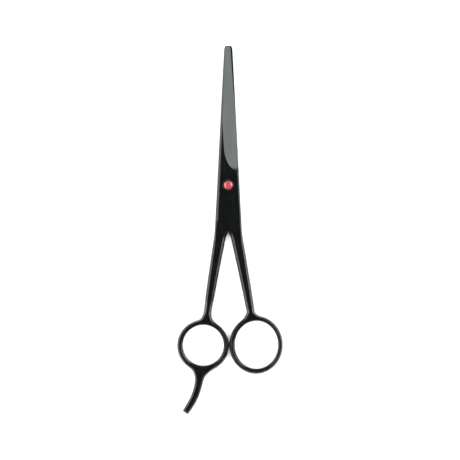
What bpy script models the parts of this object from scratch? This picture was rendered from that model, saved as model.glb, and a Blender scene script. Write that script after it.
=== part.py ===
"""Hair cutting shears: two forged halves on a tensioned pivot, rubber stop at the rings.

Frame: metres, +Z up. The shears lie flat and closed, tips towards +Y, the pivot axis on Z through the
origin, and the floor at Z = 0. The thumb half is the upper one and turns anticlockwise to open.
"""

from math import cos, pi, sin, sqrt, tan

import bmesh
import bpy
from mathutils import Matrix, Vector

MM = 0.001

# Clearances
FACE_GAP = 0.30 * MM  # between faces that meet
RUN_GAP = 0.15 * MM  # round a pin, stem or stone in its hole, and between the washers of the pivot

# Blades, each drawn from above with its spine on the left
BLADE_LENGTH = 70.3 * MM  # pivot to tip
BLADE_THICK = 2.5 * MM  # at the pivot
PIVOT_HALF_WIDTH = 5.62 * MM  # spine line, level with the pivot
TIP_HALF_WIDTH = 2.03 * MM  # spine line, level with the tip
TIP_EDGE_X = 1.0 * MM  # where the cutting edge ends at the tip
TIP_CORNER = 0.9 * MM
EDGE_INSET = 0.20 * MM  # the edge lies this far inside the other half's spine
EDGE_CURVE_START = 42.0 * MM  # from here the edge curves in to the tip
HEEL_Y = 7.6 * MM
HEEL_STEP = 0.35 * MM

# Ground faces
GRIND_SLOPE = 0.33  # fall per unit of width, ridge to edge
GRIND_TAPER = 0.0223  # fall per unit of length, towards the tip
RIDGE_X = -2.63 * MM  # ridge of the ground face at RIDGE_Y
RIDGE_Y = 25.0 * MM
RUNOUT_Y = 17.0 * MM  # where the wheel starts to lift out
WHEEL_RADIUS = 32.0 * MM
WHEEL_STEPS = 12
SPINE_CHAMFER = 1.1 * MM
TIP_THICK = 1.25 * MM

# Shoulder where each plate meets the other half's shank
SHOULDER_Y = -17.6 * MM
CROTCH_Y = -23.2 * MM
PLATE_TAIL = 0.12  # share of the shank that the plate runs on into
PLATE_TAIL_INSET = 0.1 * MM

# Shanks
SHANK_TOP_WIDTH = 6.0 * MM
SHANK_NECK_WIDTH = 4.0 * MM
SHANK_TOP_X = 4.15 * MM
SHANK_TOP_Y = -25.9 * MM
SHANK_CHAMFER = 1.1 * MM

# Finger ring, round, on the other side
FINGER_RING_X = 12.75 * MM
FINGER_RING_Y = -80.80 * MM
FINGER_HOLE = 10.30 * MM
FINGER_BAND = 2.65 * MM
FINGER_NECK = 1.7 * MM  # neck to ring centre, across

# Thumb ring, an oval that stays clear of the closed finger ring
RING_GAP = 0.35 * MM
THUMB_RING_Y = -80.42 * MM
THUMB_HOLE_X = 10.93 * MM
THUMB_HOLE_Y = 12.08 * MM
THUMB_BAND = 2.5 * MM
THUMB_NECK = 2.3 * MM
THUMB_RING_X = FINGER_HOLE + FINGER_BAND - FINGER_RING_X + RING_GAP + THUMB_BAND + THUMB_HOLE_X

RING_SIDES = 12
RING_STEPS = 56
NECK_ROOT = 0.6 * MM  # how far the shank runs into the ring's band
FLARE = 2.6 * MM  # widening where the shank joins the ring

# Finger rest: each station is its middle, from the ring's centre, and its width
REST_THICK = 4.2 * MM
REST_CHAMFER = 0.8 * MM
REST_ROOT = (1.0 * MM, -11.8 * MM, 10.2 * MM)
REST_LINE = (
    (1.35 * MM, -13.9 * MM, 6.9 * MM),
    (1.95 * MM, -17.3 * MM, 3.95 * MM),
    (3.25 * MM, -23.4 * MM, 3.75 * MM),
    (6.15 * MM, -29.4 * MM, 3.6 * MM),
)
REST_END = (8.9 * MM, -33.6 * MM, 3.2 * MM)

# Pivot
BOLT_RADIUS = 2.0 * MM
BOLT_HEAD_RADIUS = 2.95 * MM
BOLT_HEAD_THICK = 1.2 * MM
HEAD_PROUD = 0.35 * MM
KEY_FLAT = 1.55 * MM  # bolt axis to each flat of the key
STONE_RADIUS = 2.3 * MM
STONE_SEAT = 0.9 * MM  # depth of the cup
STONE_CROWN = 0.55 * MM  # height of the crown above the cup's rim
BUSH_WALL = 0.7 * MM
BUSH_FLANGE = 0.35 * MM
WASHER_THICK = 0.2 * MM
WASHER_RADIUS = 3.2 * MM
NUT_RADIUS = 3.5 * MM
NUT_THICK = 1.4 * MM
NUT_FLOOR = 0.4 * MM  # closed end under the thread
NUT_HOLE_RADIUS = 0.45 * MM
NUT_HOLE_DEPTH = 0.3 * MM
NUT_HOLE_REACH = 2.6 * MM

# Rubber stop, in the side of the thumb ring
STOP_RADIUS = 1.6 * MM
STOP_PAD = 0.75 * MM
STOP_STEM_RADIUS = 0.7 * MM
STOP_STEM = 0.95 * MM

# Worked out from the sizes above
MID_Z = BLADE_THICK + FACE_GAP / 2
TOP_Z = 2 * MID_Z
PLATE_Z = MID_Z + FACE_GAP / 2
REACH = 40 * MM  # longer than any cut needs

THUMB = {
    "x": THUMB_RING_X, "y": THUMB_RING_Y, "hole": (THUMB_HOLE_X, THUMB_HOLE_Y), "band": THUMB_BAND,
    "neck": THUMB_NECK,
}
FINGER = {
    "x": FINGER_RING_X, "y": FINGER_RING_Y, "hole": (FINGER_HOLE, FINGER_HOLE), "band": FINGER_BAND,
    "neck": FINGER_NECK,
}


# ---------------------------------------------------------------- scene and helpers


def clear_scene():
    for item in list(bpy.data.objects):
        bpy.data.objects.remove(item, do_unlink=True)


def new_collection(name):
    made = bpy.data.collections.new(name)
    bpy.context.scene.collection.children.link(made)
    return made


def material(name, color, roughness, metallic):
    made = bpy.data.materials.new(name)
    made.use_nodes = True
    shader = made.node_tree.nodes["Principled BSDF"]
    shader.inputs["Base Color"].default_value = (*color, 1.0)
    shader.inputs["Roughness"].default_value = roughness
    shader.inputs["Metallic"].default_value = metallic
    return made


def mesh_object(name, mesh, collection):
    made = bpy.data.objects.new(name, mesh)
    collection.objects.link(made)
    return made


def finished(name, shape, collection):
    """Ends the work on a bmesh and returns it as an object."""
    mesh = bpy.data.meshes.new(name)
    shape.to_mesh(mesh)
    shape.free()
    return mesh_object(name, mesh, collection)


def apply_matrix(item, matrix):
    item.data.transform(matrix)
    item.data.update()


def corner_arc(corner, before, after, radius, steps=4):
    """Points that round a corner of an outline."""
    here = Vector(corner)
    a = (Vector(before) - here).normalized()
    b = (Vector(after) - here).normalized()
    half = a.angle(b) / 2
    reach = radius / tan(half)
    start = here + a * reach
    end = here + b * reach
    points = []
    for i in range(steps + 1):
        t = i / steps
        points.append(tuple((1 - t) ** 2 * start + 2 * t * (1 - t) * here + t**2 * end))
    return points


def loft(name, sections, collection):
    """A closed solid through sections that have the same number of corners."""
    shape = bmesh.new()
    rings = [[shape.verts.new(corner) for corner in section] for section in sections]
    shape.faces.new(rings[0])
    shape.faces.new(rings[-1][::-1])
    for a, b in zip(rings, rings[1:]):
        for i in range(len(a)):
            k = (i + 1) % len(a)
            shape.faces.new((a[i], b[i], b[k], a[k]))
    bmesh.ops.recalc_face_normals(shape, faces=shape.faces)
    return finished(name, shape, collection)


def slab(name, outline, low, high, chamfer, collection):
    """A closed flat outline between two heights, with both rims chamfered."""
    curve = bpy.data.curves.new(name, "CURVE")
    curve.dimensions = "2D"
    curve.fill_mode = "BOTH"
    curve.extrude = (high - low) / 2
    spline = curve.splines.new("POLY")
    spline.points.add(len(outline) - 1)
    for point, place in zip(spline.points, outline):
        point.co = (place[0], place[1], 0.0, 1.0)
    spline.use_cyclic_u = True
    guide = mesh_object(name + "_curve", curve, collection)
    bpy.context.view_layer.update()
    seen = guide.evaluated_get(bpy.context.evaluated_depsgraph_get())
    mesh = bpy.data.meshes.new_from_object(seen)
    bpy.data.objects.remove(guide, do_unlink=True)
    shape = bmesh.new()
    shape.from_mesh(mesh)
    bmesh.ops.remove_doubles(shape, verts=shape.verts, dist=0.00001)
    bmesh.ops.dissolve_limit(shape, angle_limit=0.001, verts=shape.verts, edges=shape.edges)
    bmesh.ops.recalc_face_normals(shape, faces=shape.faces)
    bmesh.ops.translate(shape, verts=shape.verts, vec=(0, 0, (low + high) / 2))
    if chamfer:
        rims = [e for e in shape.edges if abs(e.verts[0].co.z - e.verts[1].co.z) < 0.00001]
        bmesh.ops.bevel(
            shape, geom=rims, offset=chamfer, offset_type="OFFSET", segments=1, profile=0.5, affect="EDGES",
            clamp_overlap=False,
        )
    shape.to_mesh(mesh)
    shape.free()
    mesh.name = name
    return mesh_object(name, mesh, collection)


def cylinder(name, radius, low, high, collection, segments=48):
    shape = bmesh.new()
    bmesh.ops.create_cone(
        shape, cap_ends=True, segments=segments, radius1=radius, radius2=radius, depth=high - low,
    )
    bmesh.ops.translate(shape, verts=shape.verts, vec=(0, 0, (low + high) / 2))
    return finished(name, shape, collection)


def box(name, low, high, collection):
    shape = bmesh.new()
    bmesh.ops.create_cube(shape, size=1.0)
    size = [b - a for a, b in zip(low, high)]
    middle = [(a + b) / 2 for a, b in zip(low, high)]
    bmesh.ops.scale(shape, verts=shape.verts, vec=size)
    bmesh.ops.translate(shape, verts=shape.verts, vec=middle)
    return finished(name, shape, collection)


def turned(name, profile, collection, steps=48):
    """A turned piece: the profile runs from the axis out over the top and back under to the axis."""
    shape = bmesh.new()
    corners = [shape.verts.new((x, 0, z)) for x, z in profile]
    for a, b in zip(corners, corners[1:]):
        shape.edges.new((a, b))
    if profile[0][0] > 0 or profile[-1][0] > 0:
        shape.edges.new((corners[-1], corners[0]))
    made = finished(name, shape, collection)
    screw = made.modifiers.new("turn", "SCREW")
    screw.steps = steps
    screw.render_steps = steps
    screw.use_merge_vertices = True
    screw.merge_threshold = 0.00001
    screw.use_smooth_shade = False
    return made


def boolean(item, tool, operation):
    """Adds an exact Boolean and hides its tool."""
    step = item.modifiers.new(operation.lower(), "BOOLEAN")
    step.operation = operation
    step.solver = "EXACT"
    step.object = tool
    tool.hide_render = True
    tool.display_type = "WIRE"


# ---------------------------------------------------------------- outlines of a half


def spine_x(y):
    """The spine line of a blade, left of the pivot."""
    return -(PIVOT_HALF_WIDTH + (TIP_HALF_WIDTH - PIVOT_HALF_WIDTH) * y / BLADE_LENGTH)


def edge_x(y):
    """The cutting edge: beside the other half's spine, then curving in to the tip."""
    beside = -spine_x(y) - EDGE_INSET
    along = max(0.0, (y - EDGE_CURVE_START) / (BLADE_LENGTH - EDGE_CURVE_START))
    drop = -spine_x(BLADE_LENGTH) - EDGE_INSET - TIP_EDGE_X
    return beside - drop * along**2


def shoulder(y):
    """The slanting line across a plate where the other half's shank begins, as x at y."""
    corner = spine_x(SHOULDER_Y)
    return corner * (y - CROTCH_Y) / (SHOULDER_Y - CROTCH_Y)


def ring_outer(ring):
    return ring["hole"][0] + ring["band"], ring["hole"][1] + ring["band"]


def neck(ring):
    """Middle of the shank where it enters the ring's band, and the shank's direction there."""
    outer = ring_outer(ring)
    x = ring["x"] - ring["neck"]
    y = ring["y"] + outer[1] * sqrt(1 - (ring["neck"] / outer[0]) ** 2)
    return Vector((x, y - NECK_ROOT))


def shank_sides(ring, share=1.0, inset=0.0):
    """Right and left sides of the shank, from its top towards the ring, flared at the ring."""
    top = Vector((SHANK_TOP_X, SHANK_TOP_Y))
    end = neck(ring)
    along = (end - top).normalized()
    across = Vector((-along.y, along.x))
    length = (end - top).length
    right, left = [], []
    flare_start = 1 - 1.7 * FLARE / length
    for t in [share * step for step in (0.0, 0.5, flare_start, (flare_start + 1) / 2, 1.0)]:
        width = SHANK_TOP_WIDTH + (SHANK_NECK_WIDTH - SHANK_TOP_WIDTH) * t - 2 * inset
        flare = FLARE * max(0.0, (t - flare_start) / (1 - flare_start)) ** 2
        middle = top + along * length * t
        right.append(tuple(middle + across * (width / 2 + flare)))
        left.append(tuple(middle - across * (width / 2 + 0.4 * flare)))
    return right, left


def plate_outline(ring):
    """Blade, pivot plate and the top of the shank as one flat outline, from the right shoulder round."""
    right, left = shank_sides(ring, PLATE_TAIL, PLATE_TAIL_INSET)
    tip_left = (spine_x(BLADE_LENGTH), BLADE_LENGTH)
    tip_right = (edge_x(BLADE_LENGTH), BLADE_LENGTH)
    low_spine = (spine_x(SHOULDER_Y), SHOULDER_Y)
    outline = [(-spine_x(SHOULDER_Y), SHOULDER_Y)]
    outline.append((-spine_x(HEEL_Y - HEEL_STEP), HEEL_Y - HEEL_STEP))
    edge_top = BLADE_LENGTH - TIP_CORNER * 1.5
    edge_steps = [HEEL_Y + (edge_top - HEEL_Y) * i / 12 for i in range(13)]
    edge = [(edge_x(y) - (HEEL_STEP - EDGE_INSET if y == HEEL_Y else 0.0), y) for y in edge_steps]
    outline += edge
    outline += corner_arc(tip_right, edge[-1], tip_left, TIP_CORNER * 0.8)
    outline += corner_arc(tip_left, tip_right, low_spine, TIP_CORNER)
    outline.append(low_spine)
    outline.append((shoulder(CROTCH_Y), CROTCH_Y))
    outline += left
    outline += reversed(right)
    return outline


def shank_outline(ring):
    """The part of the half that is full thickness, beyond the other half's plate."""
    right, left = shank_sides(ring)
    low = spine_x(SHOULDER_Y)
    slope = (CROTCH_Y - SHOULDER_Y) / low
    drop = FACE_GAP * (1 + slope**2) ** 0.5
    outline = [(-low, SHOULDER_Y - drop), (FACE_GAP / 2, CROTCH_Y - drop)]
    outline += left
    outline += reversed(right)
    return outline


def smooth_run(stations, steps=5):
    """A smooth run through a list of stations, each a tuple of numbers (Catmull-Rom)."""
    padded = [stations[0], *stations, stations[-1]]
    run = []
    for a, b, c, d in zip(padded, padded[1:], padded[2:], padded[3:]):
        for i in range(steps):
            t = i / steps
            weights = (
                (-t + 2 * t**2 - t**3) / 2,
                (2 - 5 * t**2 + 3 * t**3) / 2,
                (t + 4 * t**2 - 3 * t**3) / 2,
                (t**3 - t**2) / 2,
            )
            run.append(tuple(sum(w * q for w, q in zip(weights, values)) for values in zip(a, b, c, d)))
    run.append(tuple(stations[-1]))
    return run


def rest_outline(ring):
    """The curved finger rest, from inside the ring's band to its square end."""
    run = [REST_ROOT, *smooth_run(REST_LINE), REST_END]
    right, left = [], []
    for i, (x, y, width) in enumerate(run):
        before, after = run[max(i - 1, 0)], run[min(i + 1, len(run) - 1)]
        along = Vector((after[0] - before[0], after[1] - before[1])).normalized()
        across = Vector((-along.y, along.x)) * width / 2
        middle = Vector((ring["x"] + x, ring["y"] + y))
        right.append(tuple(middle + across))
        left.append(tuple(middle - across))
    return right + left[::-1]


# ---------------------------------------------------------------- shaping a half


def ring_body(name, ring, collection):
    """The ring itself, a band of rounded section."""
    centre_x = ring["hole"][0] + ring["band"] / 2
    centre_y = ring["hole"][1] + ring["band"] / 2
    shape = bmesh.new()
    section = []
    for i in range(RING_SIDES):
        turn = 2 * pi * (i + 0.5) / RING_SIDES
        reach = 0.5 / cos(pi / RING_SIDES)
        section.append((cos(turn) * ring["band"] * reach, sin(turn) * TOP_Z * reach))
    loops = []
    for j in range(RING_STEPS):
        t = 2 * pi * j / RING_STEPS
        loops.append([
            shape.verts.new(((centre_x + r) * cos(t), (centre_y + r) * sin(t), z + MID_Z))
            for r, z in section
        ])
    for j in range(RING_STEPS):
        here, after = loops[j], loops[(j + 1) % RING_STEPS]
        for i in range(RING_SIDES):
            k = (i + 1) % RING_SIDES
            shape.faces.new((here[i], after[i], after[k], here[k]))
    bmesh.ops.recalc_face_normals(shape, faces=shape.faces)
    bmesh.ops.translate(shape, verts=shape.verts, vec=(ring["x"], ring["y"], 0))
    return finished(name, shape, collection)


def grinding_cut(name, collection):
    """The space swept by the wheel that grinds the blade's large face."""
    clear = BLADE_THICK * 5
    lift = RUNOUT_Y - sqrt(WHEEL_RADIUS**2 - (WHEEL_RADIUS - clear / 2) ** 2)
    profile = [(BLADE_LENGTH + REACH, 0.0)]
    for i in range(WHEEL_STEPS + 1):
        y = RUNOUT_Y + (lift - RUNOUT_Y) * i / WHEEL_STEPS
        profile.append((y, WHEEL_RADIUS - sqrt(WHEEL_RADIUS**2 - (RUNOUT_Y - y) ** 2)))
    profile.append((lift, clear))
    profile.append((BLADE_LENGTH + REACH, clear))
    sections = []
    for x in (-REACH, REACH):
        fall = [GRIND_SLOPE * (x - RIDGE_X) + GRIND_TAPER * (y - RIDGE_Y) for y, _ in profile]
        sections.append([(x, y, TOP_Z + height - drop) for (y, height), drop in zip(profile, fall)])
    return loft(name, sections, collection)


def rim_cut(name, collection, side, high):
    """A long wedge that takes a chamfer off one upper rim of the blade or plate, up to a height."""
    taper = (TOP_Z - PLATE_Z - TIP_THICK) / (BLADE_LENGTH - RUNOUT_Y)
    reach = SPINE_CHAMFER * 5
    stations = [SHANK_TOP_Y] + ([RUNOUT_Y] if high > RUNOUT_Y else []) + [high]
    sections = []
    for y in stations:
        x = -side * spine_x(y)
        rim = TOP_Z - taper * max(0.0, y - RUNOUT_Y) - SPINE_CHAMFER
        inner, outer = x - side * reach, x + side * reach
        corners = ((inner, rim + reach), (outer, rim - reach), (outer, rim + reach))
        sections.append([(px, y, pz) for px, pz in corners])
    return loft(name, sections, collection)


def make_half(name, ring, parts, cutters):
    """One forging, drawn as the upper half: blade, pivot plate, shank and ring."""
    half = slab(name, plate_outline(ring), PLATE_Z, TOP_Z, 0.0, parts)
    boolean(half, grinding_cut(name + "_grind", cutters), "DIFFERENCE")
    boolean(half, rim_cut(name + "_spine", cutters, -1, BLADE_LENGTH + 2 * MM), "DIFFERENCE")
    boolean(half, rim_cut(name + "_plate_rim", cutters, 1, HEEL_Y - HEEL_STEP), "DIFFERENCE")
    boolean(half, slab(name + "_shank", shank_outline(ring), 0.0, TOP_Z, SHANK_CHAMFER, cutters), "UNION")
    boolean(half, ring_body(name + "_ring", ring, cutters), "UNION")
    return half


# ---------------------------------------------------------------- main pieces


def make_thumb_half(parts, cutters, steel):
    half = make_half("thumb_blade", THUMB, parts, cutters)
    bush = BOLT_RADIUS + RUN_GAP + BUSH_WALL + RUN_GAP
    boolean(half, cylinder("bush_hole", bush, MID_Z, TOP_Z + REACH, cutters), "DIFFERENCE")
    sink = BOLT_HEAD_RADIUS + FACE_GAP
    floor = TOP_Z + HEAD_PROUD - BOLT_HEAD_THICK - BUSH_FLANGE - 2 * RUN_GAP
    boolean(half, cylinder("head_sink", sink, floor, TOP_Z + REACH, cutters), "DIFFERENCE")
    for hole in stop_holes(cutters):
        boolean(half, hole, "DIFFERENCE")
    half.data.materials.append(steel)
    return half


def make_finger_half(parts, cutters, steel):
    half = make_half("finger_blade", FINGER, parts, cutters)
    low = MID_Z - REST_THICK / 2
    rest = slab("finger_rest", rest_outline(FINGER), low, low + REST_THICK, REST_CHAMFER, cutters)
    boolean(half, rest, "UNION")
    boolean(half, keyed_hole(cutters), "DIFFERENCE")
    sink = max(NUT_RADIUS, WASHER_RADIUS) + FACE_GAP
    floor = NUT_THICK + WASHER_THICK + 2 * RUN_GAP
    boolean(half, cylinder("nut_sink", sink, TOP_Z - floor, TOP_Z + REACH, cutters), "DIFFERENCE")
    half.data.materials.append(steel)
    turn_over(half)
    return half


def turn_over(piece):
    """Turns a piece and its cutters about the line along Y at mid height, so that it lies underneath."""
    apply_matrix(piece, Matrix.Translation((0, 0, 2 * MID_Z)) @ Matrix.Diagonal((-1, 1, -1, 1)))
    for step in piece.modifiers:
        turn_over(step.object)


def keyed_hole(cutters):
    """Hole with two flats, drawn in the half before it is turned over."""
    hole = cylinder("key_hole", BOLT_RADIUS + RUN_GAP, PLATE_Z - MM, TOP_Z + REACH, cutters)
    reach = KEY_FLAT + RUN_GAP
    left = box("key_hole_left", (-REACH, -REACH, -REACH), (-reach, REACH, 2 * REACH), cutters)
    right = box("key_hole_right", (reach, -REACH, -REACH), (REACH, REACH, 2 * REACH), cutters)
    boolean(hole, left, "DIFFERENCE")
    boolean(hole, right, "DIFFERENCE")
    return hole


def make_bolt(parts, cutters, black):
    """Pivot bolt: cupped head, round journal, keyed shank and a threaded tail in the nut."""
    head_top = TOP_Z + HEAD_PROUD
    head_low = head_top - BOLT_HEAD_THICK
    cup = STONE_RADIUS + RUN_GAP
    tail_low = NUT_FLOOR + RUN_GAP
    bevel = 0.2 * MM
    profile = [
        (0.0, head_top - STONE_SEAT),
        (cup, head_top - STONE_SEAT),
        (cup, head_top),
        (BOLT_HEAD_RADIUS - bevel, head_top),
        (BOLT_HEAD_RADIUS, head_top - bevel),
        (BOLT_HEAD_RADIUS, head_low),
        (BOLT_RADIUS, head_low),
        (BOLT_RADIUS, tail_low + bevel),
        (BOLT_RADIUS - bevel, tail_low),
        (0.0, tail_low),
    ]
    bolt = turned("pivot_bolt", profile, parts)
    for side in (-1, 1):
        low = (min(side * KEY_FLAT, side * REACH), -REACH, -REACH)
        high = (max(side * KEY_FLAT, side * REACH), REACH, PLATE_Z - FACE_GAP)
        boolean(bolt, box("key_flat", low, high, cutters), "DIFFERENCE")
    bolt.data.materials.append(black)
    return bolt


def make_stone(parts, red):
    """Faceted red stone: flat back, girdle, sloping crown and a flat table."""
    low = TOP_Z + HEAD_PROUD - STONE_SEAT + FACE_GAP
    rim = TOP_Z + HEAD_PROUD
    shape = bmesh.new()
    stack = [
        (STONE_RADIUS * 0.8, low),
        (STONE_RADIUS, rim - 0.15 * MM),
        (STONE_RADIUS * 0.62, rim + STONE_CROWN),
    ]
    for (lower, z0), (upper, z1) in zip(stack, stack[1:]):
        bmesh.ops.create_cone(
            shape, cap_ends=False, segments=16, radius1=lower, radius2=upper, depth=z1 - z0,
            matrix=Matrix.Translation((0, 0, (z0 + z1) / 2)),
        )
    bmesh.ops.remove_doubles(shape, verts=shape.verts, dist=0.00001)
    bmesh.ops.holes_fill(shape, edges=shape.edges, sides=0)
    bmesh.ops.recalc_face_normals(shape, faces=shape.faces)
    stone = finished("pivot_jewel", shape, parts)
    stone.data.materials.append(red)
    return stone


def make_bush(parts, nylon):
    """Flanged bush between the bolt and the thumb half."""
    inner = BOLT_RADIUS + RUN_GAP
    outer = inner + BUSH_WALL
    top = TOP_Z + HEAD_PROUD - BOLT_HEAD_THICK - RUN_GAP
    flange_low = top - BUSH_FLANGE
    profile = [
        (inner, top),
        (BOLT_HEAD_RADIUS, top),
        (BOLT_HEAD_RADIUS, flange_low),
        (outer, flange_low),
        (outer, PLATE_Z),
        (inner, PLATE_Z),
    ]
    bush = turned("pivot_bush", profile, parts)
    bush.data.materials.append(nylon)
    return bush


def make_washer(parts, spring_steel):
    """Thin spring washer between the nut and the finger half."""
    inner = BOLT_RADIUS + RUN_GAP
    low = NUT_THICK + RUN_GAP
    top = low + WASHER_THICK
    profile = [(inner, top), (WASHER_RADIUS, top), (WASHER_RADIUS, low), (inner, low)]
    washer = turned("spring_washer", profile, parts)
    washer.data.materials.append(spring_steel)
    return washer


def make_nut(parts, cutters, black):
    """Closed tension nut: blind thread, and two blind holes for a spanner."""
    bore = BOLT_RADIUS + RUN_GAP
    bevel = 0.2 * MM
    profile = [
        (0.0, NUT_FLOOR),
        (bore, NUT_FLOOR),
        (bore, NUT_THICK),
        (NUT_RADIUS, NUT_THICK),
        (NUT_RADIUS, bevel),
        (NUT_RADIUS - bevel, 0.0),
        (0.0, 0.0),
    ]
    nut = turned("tension_nut", profile, parts)
    for side in (-1, 1):
        hole = cylinder("spanner_hole", NUT_HOLE_RADIUS, -REACH, NUT_HOLE_DEPTH, cutters, segments=20)
        apply_matrix(hole, Matrix.Translation((side * NUT_HOLE_REACH, 0, 0)))
        boolean(nut, hole, "DIFFERENCE")
    nut.data.materials.append(black)
    return nut


def stop_place():
    """Turns a piece from +Z to face the finger ring, at the side of the thumb ring."""
    face = FINGER_RING_X - ring_outer(FINGER)[0]
    pad_face = -face + FACE_GAP
    return Matrix.Translation((pad_face, THUMB_RING_Y, MID_Z)) @ Matrix.Rotation(-pi / 2, 4, "Y")


def stop_holes(cutters):
    pad = cylinder("stop_seat", STOP_RADIUS + RUN_GAP, -STOP_PAD - FACE_GAP, REACH / 4, cutters, segments=32)
    stem_depth = STOP_PAD + STOP_STEM + FACE_GAP
    stem = cylinder("stop_hole", STOP_STEM_RADIUS + RUN_GAP, -stem_depth, 0.0, cutters, segments=24)
    for hole in (pad, stem):
        apply_matrix(hole, stop_place())
    return pad, stem


def make_stop(parts, rubber):
    """Rubber stop: a round pad and the stem that holds it in the thumb ring."""
    bevel = 0.2 * MM
    profile = [
        (0.0, 0.0),
        (STOP_RADIUS - bevel, 0.0),
        (STOP_RADIUS, -bevel),
        (STOP_RADIUS, -STOP_PAD),
        (STOP_STEM_RADIUS, -STOP_PAD),
        (STOP_STEM_RADIUS, -STOP_PAD - STOP_STEM),
        (0.0, -STOP_PAD - STOP_STEM),
    ]
    stop = turned("ring_stop", profile, parts, steps=32)
    stop.matrix_world = stop_place()
    stop.data.materials.append(rubber)
    return stop


def main():
    clear_scene()
    parts = new_collection("hair_cutting_shears")
    cutters = new_collection("cutters")
    steel = material("black_coated_steel", (0.02, 0.021, 0.02), 0.22, 1.0)
    screw_steel = material("black_screw_steel", (0.025, 0.025, 0.025), 0.3, 1.0)
    red = material("red_stone", (0.62, 0.03, 0.05), 0.08, 0.0)
    nylon = material("natural_nylon", (0.75, 0.73, 0.68), 0.5, 0.0)
    spring_steel = material("spring_steel", (0.55, 0.55, 0.56), 0.3, 1.0)
    rubber = material("black_rubber", (0.012, 0.012, 0.012), 0.8, 0.0)
    make_finger_half(parts, cutters, steel)
    make_thumb_half(parts, cutters, steel)
    make_bolt(parts, cutters, screw_steel)
    make_stone(parts, red)
    make_bush(parts, nylon)
    make_washer(parts, spring_steel)
    make_nut(parts, cutters, screw_steel)
    make_stop(parts, rubber)


main()
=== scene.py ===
"""Looks for the hair cutting shears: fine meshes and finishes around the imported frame.

Metres, +Z up, the closed shears lie on the floor with their tips towards +Y and the pivot axis on Z.
Each half is grown as one flat cage from its ring to its tip, thickened, chamfered and subdivided, and
then milled, ground and drilled, in the order in which a maker works on a forging.
"""

import logging
from contextlib import contextmanager
from dataclasses import dataclass, field
from enum import Enum
from math import asin, atan, atan2, cos, pi, radians, sin, sqrt
from typing import Callable, Iterator

import bmesh
import bpy
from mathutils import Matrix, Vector


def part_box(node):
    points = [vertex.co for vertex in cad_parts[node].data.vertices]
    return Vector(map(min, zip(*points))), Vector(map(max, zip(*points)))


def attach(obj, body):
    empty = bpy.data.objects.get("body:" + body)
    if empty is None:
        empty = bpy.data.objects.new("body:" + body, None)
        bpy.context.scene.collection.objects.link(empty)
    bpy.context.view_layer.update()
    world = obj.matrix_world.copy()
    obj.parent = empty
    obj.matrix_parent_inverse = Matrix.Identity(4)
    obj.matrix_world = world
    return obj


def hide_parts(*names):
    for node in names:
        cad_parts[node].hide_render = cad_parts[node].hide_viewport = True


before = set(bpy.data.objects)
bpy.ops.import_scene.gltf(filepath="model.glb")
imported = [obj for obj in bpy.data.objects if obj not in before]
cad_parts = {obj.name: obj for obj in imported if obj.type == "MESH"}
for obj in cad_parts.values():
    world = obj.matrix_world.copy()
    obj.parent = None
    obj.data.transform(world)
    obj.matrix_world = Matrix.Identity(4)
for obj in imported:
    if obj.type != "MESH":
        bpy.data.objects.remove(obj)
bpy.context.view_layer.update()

MM = 0.001
NEAR = 0.01 * MM  # places closer than this count as one
BEYOND = MM  # how far a cutter runs past the piece that it cuts
PATTERN_LOW, PATTERN_HIGH = 0.3, 0.7  # nearly all values of a noise pattern lie between these
LOG = logging.getLogger("shears")

Thing = bpy.types.Object
Socket = bpy.types.NodeSocket
Edge = bmesh.types.BMEdge
Test = Callable[[Vector], bool]


# ------------------------------------------------------------------ tools of the bench


def deselect() -> None:
    """Leaves no object selected."""
    bpy.ops.object.select_all(action="DESELECT")


def only(item: Thing) -> None:
    """Makes one object the selected and active one."""
    deselect()
    item.select_set(True)
    bpy.context.view_layer.objects.active = item


@contextmanager
def editing(item: Thing) -> Iterator[None]:
    """Opens an object in edit mode, with vertices as what is picked."""
    only(item)
    bpy.context.tool_settings.mesh_select_mode = (True, False, False)
    bpy.ops.object.mode_set(mode="EDIT")
    yield
    bpy.ops.object.mode_set(mode="OBJECT")


def pick(item: Thing, test: Test) -> None:
    """Selects the vertices that pass a test, and the edges and faces between them.

    Args:
        item: The object in edit mode.
        test: Says of a vertex's place whether it is picked.
    """
    mesh = bmesh.from_edit_mesh(item.data)
    for part in (*mesh.faces, *mesh.edges, *mesh.verts):
        part.select_set(False)
    for corner in mesh.verts:
        if test(corner.co):
            corner.select_set(True)
    mesh.select_flush(True)
    bmesh.update_edit_mesh(item.data)


def pick_edges(item: Thing, test: Callable[[Edge], bool]) -> None:
    """Selects the edges that pass a test.

    Args:
        item: The object in edit mode.
        test: Says of an edge whether it is picked.
    """
    mesh = bmesh.from_edit_mesh(item.data)
    for part in (*mesh.faces, *mesh.verts):
        part.select_set(False)
    picked = [edge for edge in mesh.edges if test(edge)]
    for edge in mesh.edges:
        edge.select_set(False)
    for edge in picked:
        edge.select_set(True)
    bmesh.update_edit_mesh(item.data)


def middle_y(edge: Edge) -> float:
    """Gives how far along the shears an edge's middle is."""
    return (edge.verts[0].co.y + edge.verts[1].co.y) / 2


def picked_places(item: Thing) -> list[Vector]:
    """Gives the places of the selected vertices."""
    mesh = bmesh.from_edit_mesh(item.data)
    return [corner.co.copy() for corner in mesh.verts if corner.select]


def bake_place(item: Thing) -> None:
    """Puts an object's place, turn and size into its mesh."""
    only(item)
    bpy.ops.object.transform_apply(location=True, rotation=True, scale=True)


def apply_modifier(item: Thing, kind: str, **values: object) -> None:
    """Adds a modifier with the given settings and applies it."""
    only(item)
    modifier = item.modifiers.new(kind.lower(), kind)
    for name, value in values.items():
        setattr(modifier, name, value)
    bpy.ops.object.modifier_apply(modifier=modifier.name)


def combine(item: Thing, tool: Thing, operation: str) -> None:
    """Applies an exact Boolean between two solids and throws the tool away."""
    apply_modifier(item, "BOOLEAN", operation=operation, solver="EXACT", object=tool)
    bpy.data.objects.remove(tool, do_unlink=True)


def smooth(item: Thing, angle: float = 12.0) -> None:
    """Shades an object smooth, with creases above an angle in degrees."""
    only(item)
    bpy.ops.object.shade_smooth_by_angle(angle=radians(angle))


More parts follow.
